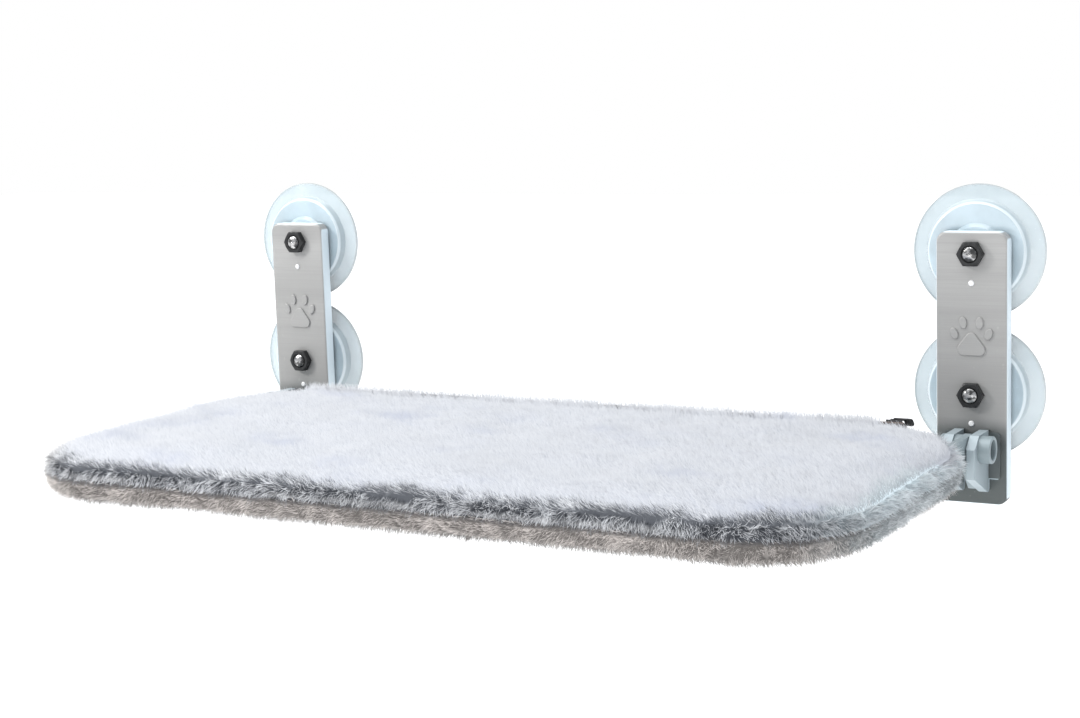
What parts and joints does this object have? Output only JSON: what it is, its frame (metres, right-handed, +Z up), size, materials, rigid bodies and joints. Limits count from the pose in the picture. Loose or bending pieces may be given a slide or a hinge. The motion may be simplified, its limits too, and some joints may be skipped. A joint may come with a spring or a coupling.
{
  "type": "cat window perch",
  "caption": "Foldable cat window perch: suction-cup wall plates with paw embossing carry a plush-covered padded tube frame on hinged arms.",
  "frame": {"origin": "middle of the suction cups' pattern, on the face of the window glass", "axes": "+X along the window, +Y out of the room through the glass, +Z up; the bed reaches into the room along -Y"},
  "size_m": [0.5218, 0.28, 0.1755],
  "materials": {
    "plate_paint": "brushed across, satin",
    "peg_white": "white nylon",
    "ear_paint": "satin",
    "hinge_paint": "satin",
    "clear_cup": "clear soft PVC, faint blue",
    "stud_chrome": "plated",
    "nut_black": "black zinc",
    "frame_paint": "powder coat",
    "sleeve_steel": "plain",
    "screw_steel": "plated",
    "plush_white": "long plush, frosted white with grey tips",
    "plush_lower": "short plush, grey-brown",
    "foam": "open foam",
    "sling_cloth": "woven sheet",
    "zip_tape": "woven tape",
    "zip_coil": "nylon coil",
    "zip_stop": "moulded",
    "zip_black": "black"
  },
  "bodies": {
    "wall_brackets": {"wall_plate_left": "plate_paint", "hinge_ear_outer_left": "ear_paint", "hinge_ear_inner_left": "ear_paint", "suction_cup_upper_left": "clear_cup", "suction_cup_lower_left": "clear_cup", "cup_studs_left": "stud_chrome", "hex_nuts_left": "nut_black", "plate_pegs_left": "peg_white", "wall_plate_right": "plate_paint", "hinge_ear_outer_right": "ear_paint", "hinge_ear_inner_right": "ear_paint", "suction_cup_upper_right": "clear_cup", "suction_cup_lower_right": "clear_cup", "cup_studs_right": "stud_chrome", "hex_nuts_right": "nut_black", "plate_pegs_right": "peg_white"},
    "bed": {"hinge_arm_left": "hinge_paint", "pivot_tube_left": "hinge_paint", "frame_half_left": "frame_paint", "hinge_arm_right": "hinge_paint", "pivot_tube_right": "hinge_paint", "frame_half_right": "frame_paint", "joint_sleeves": "sleeve_steel", "joint_screws": "screw_steel", "plush_cover_upper": "plush_white", "plush_cover_lower": "plush_lower", "foam_pad": "foam", "support_sling": "sling_cloth", "zip_tapes": "zip_tape", "zip_coil": "zip_coil", "zip_stops": "zip_stop"},
    "slider": {"zip_slider": "zip_black"},
    "pull": {"zip_pull": "zip_black"}
  },
  "joints": [
    {"name": "bed_fold", "type": "hinge", "parent": "wall_brackets", "child": "bed", "pos_m": [0, -0.032, -0.0656], "axis": [-1, 0, 0], "range_deg": [0, 70]},
    {"name": "zip_slide", "type": "slide", "parent": "bed", "child": "slider", "axis": [-1, 0, 0], "range_m": [0, 0.372]},
    {"name": "zip_pull_swing", "type": "hinge", "parent": "slider", "child": "pull", "pos_m": [0.189, -0.04048, -0.05148], "axis": [0, -0.7071, 0.7071], "range_deg": [0, 150]}
  ]
}
